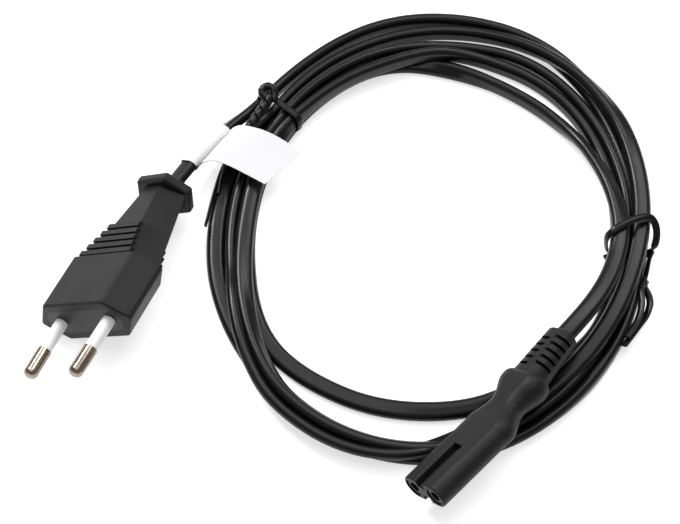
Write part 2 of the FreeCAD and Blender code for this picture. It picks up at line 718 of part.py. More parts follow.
def plug_place():
    """How the plug lies: turned onto a lower edge and lifted so that its lowest point is on the table."""
    raised = pose(Vector(PLUG_FRONT_X, PLUG_FRONT_Y, 0), PLUG_HEADING, PLUG_PITCH, PLUG_ROLL)
    lowest = lay(plug_outside(), raised).optimalBoundingBox(False, False).ZMin
    return pose(Vector(PLUG_FRONT_X, PLUG_FRONT_Y, -lowest), PLUG_HEADING, PLUG_PITCH, PLUG_ROLL)


def plug_pieces(place):
    """All pieces of the plug, laid on the table."""
    nodes, inner = {}, []
    bridge = pin_bridge()
    for name, side in SIDES.items():
        wire, shank, sleeve, core = plug_wire(side), pin(side), pin_sleeve(side), plug_core(side)
        inner += [shank, sleeve, core, wire]
        nodes["pin_" + name] = shank.cut(wire)
        nodes["pin_sleeve_" + name] = sleeve
        nodes["plug_core_" + name] = core.cut(wire)
        nodes["plug_wire_" + name] = wire
    nodes["pin_bridge"] = bridge.cut(inner)
    nodes["plug_body"] = plug_outside().cut([bridge] + inner)
    return {name: lay(shape, place) for name, shape in nodes.items()}


def connector_pieces(place):
    """All pieces of the connector, laid on the coil."""
    nodes, inner = {}, []
    carrier = contact_carrier()
    for name, side in SIDES.items():
        wire, socket, core = connector_wire(side), contact(side), connector_core(side)
        mouth = Vector(side * CONTACT_SPACING / 2, 0, 0)
        bore = rod(mouth, mouth - Vector(0, CARRIER_LENGTH, 0), CARRIER_BORE)
        recess = rod(mouth, mouth - Vector(0, CARRIER_SET_BACK, 0), CARRIER_TUBE_DIAMETER)
        inner += [bore, recess, socket, core, wire]
        nodes["contact_" + name] = socket.cut(wire)
        nodes["connector_core_" + name] = core.cut(wire)
        nodes["connector_wire_" + name] = wire
    nodes["contact_carrier"] = carrier
    nodes["connector_body"] = connector_outside().cut([carrier] + inner)
    return {name: lay(shape, place) for name, shape in nodes.items()}


def cord_pieces(plug, connector):
    """The cord's loose ends, its coil, the ties and the paper flag."""
    collar_back = plug.multVec(Vector(0, TAIL_SINK - plug_length(), 0))
    relief_back = connector.multVec(bend().multVec(Vector(0, TAIL_SINK - CONNECTOR_LENGTH, 0)))
    plug_route = [collar_back] + [Vector(*point) for point in PLUG_TAIL_POINTS]
    connector_route = [relief_back] + [Vector(*point) for point in CONNECTOR_TAIL_POINTS]
    ties = [twist_tie_left(), twist_tie_right()]
    coil = coil_ring().cut([coil_gap()] + connector_bed(connector) + ties)
    plug_room = lay(plug_outside(), plug)
    connector_room = lay(connector_outside(), connector)
    return {
        "cord_coil": coil,
        "cord_plug_tail": cord_tube(plug_route).cut([coil, plug_room] + ties),
        "cord_connector_tail": cord_tube(connector_route).cut([coil, connector_room] + ties),
        "twist_tie_left": ties[0],
        "twist_tie_right": ties[1],
        "cord_label": cord_label(plug_route),
    }


def main():
    os.makedirs("parts", exist_ok=True)
    plug = plug_place()
    front = Vector(CONNECTOR_FRONT_X, CONNECTOR_FRONT_Y, CONNECTOR_FRONT_Z)
    connector = pose(front, CONNECTOR_HEADING, CONNECTOR_PITCH, CONNECTOR_ROLL)
    nodes = plug_pieces(plug)
    nodes.update(connector_pieces(connector))
    nodes.update(cord_pieces(plug, connector))
    for name, shape in nodes.items():
        print(name, shape.ShapeType, len(shape.Solids), "valid", shape.isValid(), round(shape.Volume, 1))
        shape.exportStep("parts/" + name + ".step")


main()
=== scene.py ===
"""Looks of a mains lead: a flat two-pin plug, a figure-eight connector and a coil of flat twin cord.

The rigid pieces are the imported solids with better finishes. The cord, its two wire ties and its paper flag
are made here, because they are soft. Lengths in the tables are millimetres, and everything in the scene is
metres.
"""
import logging
import math
from dataclasses import dataclass
from enum import Enum
from typing import NamedTuple

import bpy
import numpy as np
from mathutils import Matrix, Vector


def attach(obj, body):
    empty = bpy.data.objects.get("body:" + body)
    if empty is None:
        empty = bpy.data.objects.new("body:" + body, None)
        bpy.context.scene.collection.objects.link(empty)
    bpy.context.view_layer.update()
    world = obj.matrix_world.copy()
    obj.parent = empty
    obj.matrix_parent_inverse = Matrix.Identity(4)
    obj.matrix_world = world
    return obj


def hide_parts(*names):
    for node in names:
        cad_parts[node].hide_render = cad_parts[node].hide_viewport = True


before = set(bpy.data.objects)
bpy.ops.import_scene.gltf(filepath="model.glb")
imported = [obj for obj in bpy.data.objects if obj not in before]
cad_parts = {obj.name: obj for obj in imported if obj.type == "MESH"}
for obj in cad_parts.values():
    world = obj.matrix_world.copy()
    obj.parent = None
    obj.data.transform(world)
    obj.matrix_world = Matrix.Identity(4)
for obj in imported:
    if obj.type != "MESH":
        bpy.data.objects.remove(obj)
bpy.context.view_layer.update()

LOG = logging.getLogger("mains_lead")
MM = 0.001
UP = (0.0, 0.0, 1.0)
SHARP = math.radians(55)
QUADRATIC = 3

SLOW_SCALE = 90.0
SLOW_DETAIL = 3.0
NOISE_LOW = 0.3
NOISE_HIGH = 0.7
FINE_DETAIL = 2.0
FIBRE_DETAIL = 8.0
STREAK_STRETCH = (0.02, 1.0, 1.0)

Point = tuple[float, float, float]
Route = tuple[Point, ...]


class Marks(Enum):
    """Kinds of fine marks that a finish shows up close."""

    GRAIN = "even mould grain"
    STREAKS = "streaks along the piece"
    FIBRES = "paper fibres"
    SMOOTH = "faint unevenness"


@dataclass(frozen=True)
class Finish:
    """One surface finish, made of a Principled shader with noise in object space.

    Attributes:
        name: Name of the material.
        colour: Base colour, linear red, green and blue.
        shade: Darkest share of the base colour in its slow variation.
        roughness: Lowest and highest roughness.
        marks: Kind of fine marks.
        mark_size: Size of one mark, in metres.
        mark_depth: Depth of the marks, in metres.
        metallic: 1 for bare metal, 0 otherwise.
        specular: Specular level of the shader.
        glow: Strength of white light that the surface gives off itself.
    """

    name: str
    colour: tuple[float, float, float]
    shade: float
    roughness: tuple[float, float]
    marks: Marks
    mark_size: float
    mark_depth: float
    metallic: float = 0.0
    specular: float = 0.5
    glow: float = 0.0

    def material(self) -> bpy.types.Material:
        """Makes the material.

        Slow noise moves the colour between its shade and its full value, and the roughness between its two
        ends. Fine noise makes the bump.

        Returns:
            The finished material.
        """
        made = bpy.data.materials.new(self.name)
        made.use_nodes = True
        tree = made.node_tree
        shader = tree.nodes["Principled BSDF"]
        shader.inputs["Metallic"].default_value = self.metallic
        shader.inputs["Specular IOR Level"].default_value = self.specular
        shader.inputs["Emission Color"].default_value = (1.0, 1.0, 1.0, 1.0)
        shader.inputs["Emission Strength"].default_value = self.glow
        place = tree.nodes.new("ShaderNodeTexCoord").outputs["Object"]
        slow = self._noise(tree, place, SLOW_SCALE, SLOW_DETAIL)
        self._mix_colour(tree, slow, shader)
        self._mix_roughness(tree, slow, shader)
        self._bump(tree, place, shader)
        return made

    def _noise(
        self, tree: bpy.types.NodeTree, place: bpy.types.NodeSocket, scale: float, detail: float
    ) -> bpy.types.NodeSocket:
        """Adds a noise texture.

        Args:
            tree: Node tree to add to.
            place: Coordinates that the noise is read at.
            scale: Number of noise cells in a metre.
            detail: Number of finer layers.

        Returns:
            The noise's value socket.
        """
        noise = tree.nodes.new("ShaderNodeTexNoise")
        noise.inputs["Scale"].default_value = scale
        noise.inputs["Detail"].default_value = detail
        tree.links.new(place, noise.inputs["Vector"])
        return noise.outputs["Fac"]

    def _mix_colour(
        self, tree: bpy.types.NodeTree, slow: bpy.types.NodeSocket, shader: bpy.types.Node
    ) -> None:
        """Links the slow noise to the base colour, between the shade and the full colour.

        Args:
            tree: Node tree to add to.
            slow: Value of the slow noise.
            shader: The Principled shader.
        """
        ramp = tree.nodes.new("ShaderNodeValToRGB")
        ramp.color_ramp.elements[0].position = NOISE_LOW
        ramp.color_ramp.elements[1].position = NOISE_HIGH
        ramp.color_ramp.elements[0].color = (*(part * self.shade for part in self.colour), 1.0)
        ramp.color_ramp.elements[1].color = (*self.colour, 1.0)
        tree.links.new(slow, ramp.inputs["Fac"])
        tree.links.new(ramp.outputs["Color"], shader.inputs["Base Color"])

    def _mix_roughness(
        self, tree: bpy.types.NodeTree, slow: bpy.types.NodeSocket, shader: bpy.types.Node
    ) -> None:
        """Links the slow noise to the roughness, between its two ends.

        Args:
            tree: Node tree to add to.
            slow: Value of the slow noise.
            shader: The Principled shader.
        """
        spread = tree.nodes.new("ShaderNodeMapRange")
        spread.inputs["From Min"].default_value = NOISE_LOW
        spread.inputs["From Max"].default_value = NOISE_HIGH
        spread.inputs["To Min"].default_value = self.roughness[0]
        spread.inputs["To Max"].default_value = self.roughness[1]
        tree.links.new(slow, spread.inputs["Value"])
        tree.links.new(spread.outputs["Result"], shader.inputs["Roughness"])

    def _bump(
        self, tree: bpy.types.NodeTree, place: bpy.types.NodeSocket, shader: bpy.types.Node
    ) -> None:
        """Adds the fine marks as bump. Streaks are noise in the piece's strip map, drawn out along the piece.

        Args:
            tree: Node tree to add to.
            place: Coordinates that marks other than streaks are read at.
            shader: The Principled shader.
        """
        if self.marks is Marks.STREAKS:
            strip = tree.nodes.new("ShaderNodeUVMap")
            stretch = tree.nodes.new("ShaderNodeMapping")
            stretch.inputs["Scale"].default_value = STREAK_STRETCH
            tree.links.new(strip.outputs["UV"], stretch.inputs["Vector"])
            place = stretch.outputs["Vector"]
        detail = FIBRE_DETAIL if self.marks is Marks.FIBRES else FINE_DETAIL
        fine = self._noise(tree, place, 1.0 / self.mark_size, detail)
        bump = tree.nodes.new("ShaderNodeBump")
        bump.inputs["Strength"].default_value = 1.0
        bump.inputs["Distance"].default_value = self.mark_depth
        tree.links.new(fine, bump.inputs["Height"])
        tree.links.new(bump.outputs["Normal"], shader.inputs["Normal"])


MOULDING = Finish(
    "black_moulded_pvc", (0.0112, 0.0104, 0.0105), shade=0.75, roughness=(0.42, 0.54),
    marks=Marks.GRAIN, mark_size=0.00035, mark_depth=0.00007, specular=0.18,
)
PLAIN_BLACK = Finish(
    "black_thermoplastic", (0.01, 0.01, 0.0105), shade=0.8, roughness=(0.4, 0.5),
    marks=Marks.SMOOTH, mark_size=0.0006, mark_depth=0.00001, specular=0.3,
)
SATIN_CORD = Finish(
    "satin_black_cord", (0.0045, 0.0042, 0.0044), shade=0.8, roughness=(0.25, 0.33),
    marks=Marks.STREAKS, mark_size=0.0006, mark_depth=0.00002, specular=0.24,
)
TIE_COVER = Finish(
    "black_tie_cover", (0.004, 0.004, 0.0043), shade=0.8, roughness=(0.26, 0.34),
    marks=Marks.STREAKS, mark_size=0.0005, mark_depth=0.00002, specular=0.2,
)
WHITE_NYLON = Finish(
    "white_nylon", (0.74, 0.74, 0.74), shade=0.97, roughness=(0.34, 0.42),
    marks=Marks.SMOOTH, mark_size=0.0008, mark_depth=0.000006, specular=0.35,
)
NICKEL = Finish(
    "polished_nickel", (0.31, 0.255, 0.205), shade=0.75, roughness=(0.14, 0.22),
    marks=Marks.SMOOTH, mark_size=0.0002, mark_depth=0.000002, metallic=1.0,
)
BRASS = Finish(
    "rolled_brass", (0.7, 0.52, 0.22), shade=0.85, roughness=(0.25, 0.35),
    marks=Marks.SMOOTH, mark_size=0.0003, mark_depth=0.000003, metallic=1.0,
)
COPPER = Finish(
    "bare_copper", (0.72, 0.36, 0.2), shade=0.85, roughness=(0.25, 0.4),
    marks=Marks.SMOOTH, mark_size=0.0002, mark_depth=0.000005, metallic=1.0,
)
BROWN_CORE = Finish(
    "brown_core", (0.2, 0.08, 0.03), shade=0.85, roughness=(0.4, 0.5),
    marks=Marks.SMOOTH, mark_size=0.0005, mark_depth=0.000005,
)
BLUE_CORE = Finish(
    "blue_core", (0.02, 0.09, 0.4), shade=0.85, roughness=(0.4, 0.5),
    marks=Marks.SMOOTH, mark_size=0.0005, mark_depth=0.000005,
)
PAPER = Finish(
    "white_paper", (0.66, 0.66, 0.67), shade=0.97, roughness=(0.75, 0.85),
    marks=Marks.FIBRES, mark_size=0.0009, mark_depth=0.00003, specular=0.3,
)
PALE_FLOOR = Finish(
    "pale_floor", (0.72, 0.72, 0.72), shade=0.995, roughness=(0.9, 0.95),
    marks=Marks.SMOOTH, mark_size=0.02, mark_depth=0.000001, specular=0.0, glow=0.62,
)

NODE_FINISHES = {
    "plug_body": MOULDING,
    "connector_body": MOULDING,
    "pin_bridge": PLAIN_BLACK,
    "contact_carrier": PLAIN_BLACK,
    "pin_left": NICKEL,
    "pin_right": NICKEL,
    "pin_sleeve_left": WHITE_NYLON,
    "pin_sleeve_right": WHITE_NYLON,
    "contact_left": BRASS,
    "contact_right": BRASS,
    "plug_wire_left": COPPER,
    "plug_wire_right": COPPER,
    "connector_wire_left": COPPER,
    "connector_wire_right": COPPER,
    "plug_core_left": BROWN_CORE,
    "connector_core_left": BROWN_CORE,
    "plug_core_right": BLUE_CORE,
    "connector_core_right": BLUE_CORE,
    "cord_coil": SATIN_CORD,
    "cord_plug_tail": SATIN_CORD,
    "cord_connector_tail": SATIN_CORD,
    "twist_tie_left": TIE_COVER,
    "twist_tie_right": TIE_COVER,
    "cord_label": PAPER,
}
MATERIALS = {finish.name: finish.material() for finish in dict.fromkeys(NODE_FINISHES.values())}


def spline_points(points: np.ndarray, resolution: int, closed: bool = False) -> np.ndarray:
    """Reads points along the smooth NURBS spline of a route.

    Args:
        points: Control points of the route, in metres.
        resolution: Number of points read in each segment.
        closed: Whether the route is a ring.

    Returns:
        The points along the spline, in metres.
    """
    curve = bpy.data.curves.new("route", "CURVE")
    curve.dimensions = "3D"
    spline = curve.splines.new("NURBS")
    spline.points.add(len(points) - 1)
    spline.points.foreach_set("co", np.column_stack([points, np.ones(len(points))]).ravel())
    spline.order_u = QUADRATIC
    spline.use_endpoint_u = not closed
    spline.use_cyclic_u = closed
    spline.resolution_u = resolution
    carrier = bpy.data.objects.new("route", curve)
    line = bpy.data.meshes.new_from_object(carrier)
    found = np.empty(3 * len(line.vertices))
    line.vertices.foreach_get("co", found)
    bpy.data.meshes.remove(line)
    bpy.data.objects.remove(carrier)
    bpy.data.curves.remove(curve)
    return found.reshape(-1, 3)


def along_spline(values: np.ndarray, count: int) -> np.ndarray:
    """Spreads one value per control point over the points read along its spline.

    A quadratic spline's control point has most weight half a segment before the next knot, so the values sit
    at 0, a half, one and a half and so on, and at the last knot.

    Args:
        values: One value for each control point.
        count: Number of points read along the spline.

    Returns:
        One value for each point read.
    """
    last = len(values) - 2
    places = np.concatenate([[0.0], np.arange(last) + 0.5, [last]])
    return np.interp(np.linspace(0.0, last, count), places, values)


def unit(vectors: np.ndarray) -> np.ndarray:
    """Scales vectors to length one."""
    return vectors / np.linalg.norm(vectors, axis=-1, keepdims=True)


def square_to(ahead: np.ndarray, rough: np.ndarray) -> np.ndarray:
    """Unit vectors of rough ways, after what points ahead is taken off them."""
    return unit(rough - (rough * ahead).sum(axis=1, keepdims=True) * ahead)


def directions(points: np.ndarray, closed: bool = False) -> np.ndarray:
    """Direction of a line at each of its points: the step from the point before it to the one after.

    Args:
        points: Points of the line.
        closed: Whether the line is a ring.

    Returns:
        A unit vector for each point.
    """
    if closed:
        return unit(np.roll(points, -1, axis=0) - np.roll(points, 1, axis=0))
    return unit(np.gradient(points, axis=0))


def lengths_along(points: np.ndarray) -> np.ndarray:
    """Length of a line from its start to each of its points."""
    return np.concatenate([[0.0], np.cumsum(np.linalg.norm(np.diff(points, axis=0), axis=1))])


def stadium(width: float, thickness: float, bend: int = 9, side: int = 3) -> np.ndarray:
    """Outline of a flat bar with half-round edges.

    Args:
        width: Whole width.
        thickness: Whole thickness, which is also the width of each round edge.
        bend: Number of points round each edge.
        side: Number of points on each flat side, between the edges.

    Returns:
        Points of the outline, width first, going round once.
    """
    angle = np.linspace(-math.pi / 2, math.pi / 2, bend)
    radius, reach = thickness / 2, (width - thickness) / 2
    right = np.column_stack([reach + radius * np.cos(angle), radius * np.sin(angle)])
    flat = np.column_stack([np.linspace(reach, -reach, side + 2)[1:-1], np.full(side, radius)])
    return np.concatenate([right, flat, -right, -flat])


def wired_band(width: float, thickness: float, wire: float) -> np.ndarray:
    """Outline of a flat band with a wire along its middle.

    It is a flat bar whose two faces swell over the wire by a bell curve as wide as the wire.

    Args:
        width: Whole width.
        thickness: Thickness beside the wire.
        wire: Thickness over the wire.

    Returns:
        Points of the outline, width first, going round once.
    """
    bar = stadium(width, thickness, bend=5)
    swell = (wire - thickness) / 2 * np.exp(-((bar[:, 0] / (wire / 2)) ** 2))
    bar[:, 1] += np.sign(bar[:, 1]) * swell
    return bar


def tube_faces(rows: int, columns: int, closed: bool = False, flipped: bool = False) -> list[list[int]]:
    """Faces of a tube that is made of rings of vertices.

    Each face joins a vertex and the next one of its ring with the same two of the next ring. A tube that
    isn't closed gets a face over each end.

    Args:
        rows: Number of rings.
        columns: Number of vertices in a ring.
        closed: Whether the last ring meets the first.
        flipped: Whether the faces are turned over, for rings that run the other way round.

    Returns:
        The numbers of each face's vertices.
    """
    steps = rows if closed else rows - 1
    row, column = np.meshgrid(np.arange(steps), np.arange(columns), indexing="ij")
    next_row, next_column = (row + 1) % rows, (column + 1) % columns
    corners = [
        row * columns + column,
        row * columns + next_column,
        next_row * columns + next_column,
        next_row * columns + column,
    ]
    if flipped:
        corners = [corners[0], *corners[:0:-1]]
    faces = np.stack(corners, axis=-1).reshape(-1, 4).tolist()
    if not closed:
        ring, way = np.arange(columns), 1 if flipped else -1
        faces.append(ring[::way].tolist())
        faces.append((ring[::-way] + (rows - 1) * columns).tolist())
    return faces


def solid(
    name: str, vertices: np.ndarray, faces: list[list[int]], strip: np.ndarray
) -> bpy.types.Object:
    """Makes a smooth object whose sharp edges stay sharp.

    Args:
        name: Name of the object.
        vertices: Places of the vertices, in metres.
        faces: The numbers of each face's vertices.
        strip: One pair of strip coordinates for each vertex.

    Returns:
        The object, in the scene.
    """
    mesh = bpy.data.meshes.new(name)
    mesh.from_pydata(vertices.tolist(), [], faces)
    corners = np.empty(len(mesh.loops), dtype=np.int32)
    mesh.loops.foreach_get("vertex_index", corners)
    mesh.uv_layers.new(name="strip").data.foreach_set("uv", strip[corners].ravel())
    mesh.shade_smooth()
    mesh.set_sharp_from_angle(angle=SHARP)
    mesh.update()
    made = bpy.data.objects.new(name, mesh)
    bpy.context.scene.collection.objects.link(made)
    return made


def swept(
    name: str, points: np.ndarray, wide: np.ndarray, outline: np.ndarray, closed: bool = False
) -> bpy.types.Object:
    """Carries an outline along a line and closes its ends.

    Each ring is the line's point, plus the outline's width along the wide axis and its height across both.

    Args:
        name: Name of the object.
        points: Points of the line, in metres.
        wide: Unit vector of the outline's width at each point.
        outline: Points of the outline, in metres.
        closed: Whether the line is a ring.

    Returns:
        The object, with a strip map that counts metres along and round it.
    """
    across = unit(np.cross(directions(points, closed), wide))
    rings = (
        points[:, None, :]
        + outline[None, :, 0, None] * wide[:, None, :]
        + outline[None, :, 1, None] * across[:, None, :]
    )
    rows, columns = rings.shape[:2]
    girth = np.linspace(0.0, np.abs(np.diff(outline, axis=0)).sum(), columns)
    strip = np.stack(np.meshgrid(lengths_along(points), girth, indexing="ij"), axis=-1)
    return solid(name, rings.reshape(-1, 3), tube_faces(rows, columns, closed), strip.reshape(-1, 2))


def dress(piece: bpy.types.Object, finish: Finish, slot: str, *nodes: str) -> None:
    """Gives a new piece its finish and ties it to the frame in place of its solids.

    Args:
        piece: The new piece.
        finish: Its finish.
        slot: Not used.
        nodes: Nodes that it replaces.
    """
    piece.data.materials.append(MATERIALS[finish.name])
    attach(piece, "root")
    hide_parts(*nodes)


def join(name: str, parts: list[bpy.types.Object]) -> bpy.types.Object:
    """Joins several objects into one.

    Args:
        name: Name of the joined object.
        parts: The objects.

    Returns:
        The joined object, which is the first of them.
    """
    with bpy.context.temp_override(active_object=parts[0], selected_editable_objects=parts):
        bpy.ops.object.join()
    parts[0].name = name
    parts[0].data.name = name
    return parts[0]


class Station(NamedTuple):
    """One place along a turn of the coil.

    Attributes:
        angle: Way from the middle of the coil, in degrees from +X.
        depth: Distance inside the coil's outer outline.
        height: Height of the middle of the cord.
        roll: Turn of the cord's wide side from the way out towards up, in degrees.
    """

    angle: float
    depth: float
    height: float
    roll: float


TURN_1 = (
    Station(130, 1.3, 2.6, 90), Station(120, 1.8, 2.6, 90), Station(100, 1.8, 2.6, 90),
    Station(80, 3.2, 2.6, 90), Station(62, 3.0, 2.5, 70), Station(45, 3.8, 1.9, 25),
    Station(30, 4.3, 1.6, 0), Station(14, 4.2, 1.6, 0), Station(-2, 3.6, 2.3, 55),
    Station(-14, 2.9, 2.6, 90), Station(-30, 1.9, 2.6, 90), Station(-50, 1.7, 2.6, 90),
    Station(-75, 2.4, 2.5, 60), Station(-90, 3.4, 2.1, 30), Station(-105, 4.4, 1.6, 0),
    Station(-135, 4.6, 1.6, 0), Station(-150, 3.0, 1.6, 0), Station(-165, 1.8, 1.6, 0),
    Station(-200, 1.6, 1.6, 0),
)
TURN_2 = (
    Station(140, 5.5, 2.8, 90), Station(120, 6.2, 2.8, 90), Station(100, 7.4, 2.6, 90),
    Station(80, 7.4, 2.6, 90), Station(62, 6.1, 4.3, 95), Station(54, 5.3, 5.7, 108),
    Station(45, 4.2, 6.0, 128), Station(30, 2.8, 5.9, 165), Station(15, 3.2, 6.0, 178),
    Station(0, 3.7, 6.4, 180), Station(-15, 4.9, 6.8, 180), Station(-30, 5.7, 6.9, 180),
    Station(-42, 6.4, 6.7, 180), Station(-50, 7.4, 5.0, 180), Station(-62, 8.9, 2.8, 180),
    Station(-75, 10.2, 1.6, 180), Station(-82, 8.8, 1.8, 190), Station(-88, 6.8, 2.6, 205),
    Station(-92, 5.0, 3.6, 215), Station(-97, 3.2, 4.6, 228), Station(-107, 1.2, 5.0, 240),
    Station(-130, 0.9, 5.0, 240), Station(-145, 3.2, 5.7, 255), Station(-156, 4.8, 5.6, 268),
    Station(-166, 6.0, 3.2, 270), Station(-200, 6.2, 2.6, 270),
)
TURN_3 = (
    Station(140, 9.8, 5.8, 270), Station(130, 10.4, 5.8, 270), Station(112, 12.3, 5.6, 270),
    Station(100, 13.3, 4.6, 270), Station(90, 13.5, 3.2, 270), Station(80, 13.6, 2.6, 270),
    Station(62, 10.4, 2.6, 285), Station(45, 9.5, 2.6, 280), Station(30, 8.5, 2.6, 272),
    Station(15, 7.5, 2.6, 270), Station(-12, 6.8, 2.6, 270), Station(-30, 5.1, 2.6, 270),
    Station(-50, 4.9, 2.6, 270), Station(-75, 5.9, 2.5, 240), Station(-95, 5.5, 3.6, 240),
    Station(-108, 4.8, 5.3, 240), Station(-130, 4.5, 5.3, 240), Station(-145, 7.0, 5.0, 220),
    Station(-160, 9.0, 4.9, 195), Station(-180, 10.4, 4.9, 180), Station(-200, 10.4, 4.9, 180),
)
TURN_4 = (
    Station(140, 12.6, 5.9, 250), Station(130, 14.2, 5.9, 270), Station(100, 18.5, 6.0, 270),
    Station(92, 17.8, 6.0, 270), Station(85, 17.0, 5.3, 270), Station(77, 16.6, 3.6, 270),
    Station(70, 16.3, 2.6, 270), Station(60, 15.0, 2.6, 270), Station(45, 13.1, 2.6, 270),
    Station(30, 11.8, 2.6, 270), Station(15, 10.7, 2.6, 270), Station(-12, 10.0, 2.6, 270),
    Station(-30, 8.4, 2.6, 270), Station(-42, 8.8, 2.6, 270), Station(-50, 11.0, 2.6, 270),
    Station(-62, 13.6, 2.4, 290), Station(-78, 15.2, 1.6, 350), Station(-88, 16.6, 1.9, 335),
    Station(-98, 17.1, 1.8, 345), Station(-110, 16.2, 1.6, 360), Station(-120, 14.7, 1.6, 360),
    Station(-130, 12.3, 1.6, 360), Station(-140, 10.0, 1.6, 360), Station(-150, 9.5, 1.6, 360),
    Station(-165, 10.2, 1.6, 360), Station(-200, 10.4, 1.6, 360),
)
TURN_5 = (
    Station(140, 11.3, 1.6, 360), Station(130, 12.1, 1.6, 360), Station(110, 14.0, 1.6, 360),
    Station(100, 15.6, 1.6, 360), Station(85, 20.6, 1.9, 390), Station(78, 22.2, 2.4, 425),
    Station(70, 22.9, 2.6, 450), Station(60, 22.3, 2.6, 450), Station(45, 19.6, 2.6, 450),
    Station(30, 15.4, 4.4, 480), Station(22, 14.4, 6.4, 490), Station(15, 12.8, 7.6, 500),
    Station(0, 9.5, 8.1, 525), Station(-12, 9.6, 8.4, 542),
)


@dataclass(frozen=True)
class Oval:
    """Outer outline of the coil on the table, in millimetres and degrees.

    Attributes:
        centre: Middle of the outline.
        long: Half of its long axis.
        short: Half of its short axis.
        turn: Way of its long axis, from +X.
    """

    centre: tuple[float, float] = (36.4, 39.5)
    long: float = 75.5
    short: float = 62.1
    turn: float = 78.4

    def reach(self, start: tuple[float, float], angles: np.ndarray) -> np.ndarray:
        """Distance from a point inside the outline to the outline.

        The ray's start and step are turned and scaled until the outline is a circle of radius one, and the
        distance is the positive root of the square equation that puts the ray's end on that circle.

        Args:
            start: The point inside the outline.
            angles: Ways from that point, in degrees.

        Returns:
            The distance for each way.
        """
        turn, way = math.radians(self.turn), np.radians(angles)
        offset_x, offset_y = start[0] - self.centre[0], start[1] - self.centre[1]
        start_u = (offset_x * math.cos(turn) + offset_y * math.sin(turn)) / self.long
        start_v = (offset_y * math.cos(turn) - offset_x * math.sin(turn)) / self.short
        step_u, step_v = np.cos(way - turn) / self.long, np.sin(way - turn) / self.short
        square = step_u**2 + step_v**2
        mixed = start_u * step_u + start_v * step_v
        constant = start_u**2 + start_v**2 - 1
        return (-mixed + np.sqrt(mixed * mixed - square * constant)) / square


@dataclass
class Cord:
    """The flat twin cord, in one length from the plug's collar to the connector's strain relief.

    Attributes:
        width: Width of the cord.
        thickness: Thickness of the cord.
        middle: Point on the table that the turns' angles are counted round.
        turns: Stations of the coil, turn by turn, from the plug's end.
        step: Angle between two control points of the coil, in degrees.
        plug_end: Control points from the collar to the coil.
        plug_rolls: Roll at each of them.
        connector_end: Control points from the coil to the strain relief.
        connector_rolls: Roll at each of them.
        resolution: Points read in each segment of the spline.
    """

    width: float = 5.3
    thickness: float = 3.2
    middle: tuple[float, float] = (36.0, 38.1)
    turns: tuple[tuple[Station, ...], ...] = (TURN_1, TURN_2, TURN_3, TURN_4, TURN_5)
    step: float = 9.0
    plug_end: Route = (
        (-38.51, 46.13, 8.59), (-33.9, 53.9, 8.4), (-28.3, 62.4, 7.6), (-21.2, 70.9, 6.2),
        (-14.9, 77.2, 4.6),
    )
    plug_rolls: tuple[float, ...] = (144.3, 150.0, 148.0, 130.0, 105.0)
    connector_end: Route = ((84.0, 17.6, 9.6), (77.4, 7.1, 11.0), (69.61, -1.66, 11.5))
    connector_rolls: tuple[float, ...] = (545.0, 536.0, 532.5)
    resolution: int = 4

    def stations(self) -> np.ndarray:
        """All stations in one table, with angles that go on falling by 360 degrees from turn to turn."""
        tables = [np.array(turn, dtype=float) for turn in self.turns]
        return np.concatenate([table - (360.0 * number, 0, 0, 0) for number, table in enumerate(tables)])

    def coil_points(self) -> tuple[np.ndarray, np.ndarray]:
        """Control points of the coil and the roll at each.

        The spline of a ring of control points runs inside them by the radius times the square of the step, in
        radians, over eight, so the points lie that much further out. A cord that is rolled reaches down by
        half its thickness plus the rest of its half width times the sine of the roll, and is never lower.

        Returns:
            The points in millimetres, and the rolls in degrees.
        """
        table = self.stations()[::-1]
        first, last = table[-1, 0], table[0, 0]
        angles = np.linspace(first, last, round((first - last) / self.step) + 1)
        depth, height, roll = (np.interp(angles, table[:, 0], table[:, column]) for column in (1, 2, 3))
        distance = (Oval().reach(self.middle, angles) - depth) * (1 + math.radians(self.step) ** 2 / 8)
        core = (self.width - self.thickness) / 2
        lowest = self.thickness / 2 + core * np.abs(np.sin(np.radians(roll)))
        way = np.radians(angles)
        points = np.column_stack([
            self.middle[0] + distance * np.cos(way),
            self.middle[1] + distance * np.sin(way),
            np.maximum(height, lowest),
        ])
        return points, roll

    def line(self) -> tuple[np.ndarray, np.ndarray]:
        """Middle line of the whole cord.

        The cord's width starts level, pointing out of the coil, and is turned about the line by the roll.

        Returns:
            Points along the cord, in metres, and the unit vector of its width at each.
        """
        coil, rolls = self.coil_points()
        route = np.concatenate([np.array(self.plug_end), coil, np.array(self.connector_end)])
        rolls = np.concatenate([self.plug_rolls, rolls, self.connector_rolls])
        points = spline_points(route * MM, self.resolution)
        roll = np.radians(along_spline(rolls, len(points)))[:, None]
        ahead = directions(points)
        outward = unit(np.cross(UP, ahead))
        return points, np.cos(roll) * outward + np.sin(roll) * np.cross(ahead, outward)

    def build(self) -> tuple[bpy.types.Object, np.ndarray, np.ndarray]:
        """Makes the cord.

        Returns:
            The object, the points along it and the unit vectors of its width.
        """
        points, wide = self.line()
        piece = swept("mains_cord", points, wide, stadium(self.width, self.thickness) * MM)
        dress(piece, SATIN_CORD, "cord", "cord_coil", "cord_plug_tail", "cord_connector_tail")
        return piece, points, wide


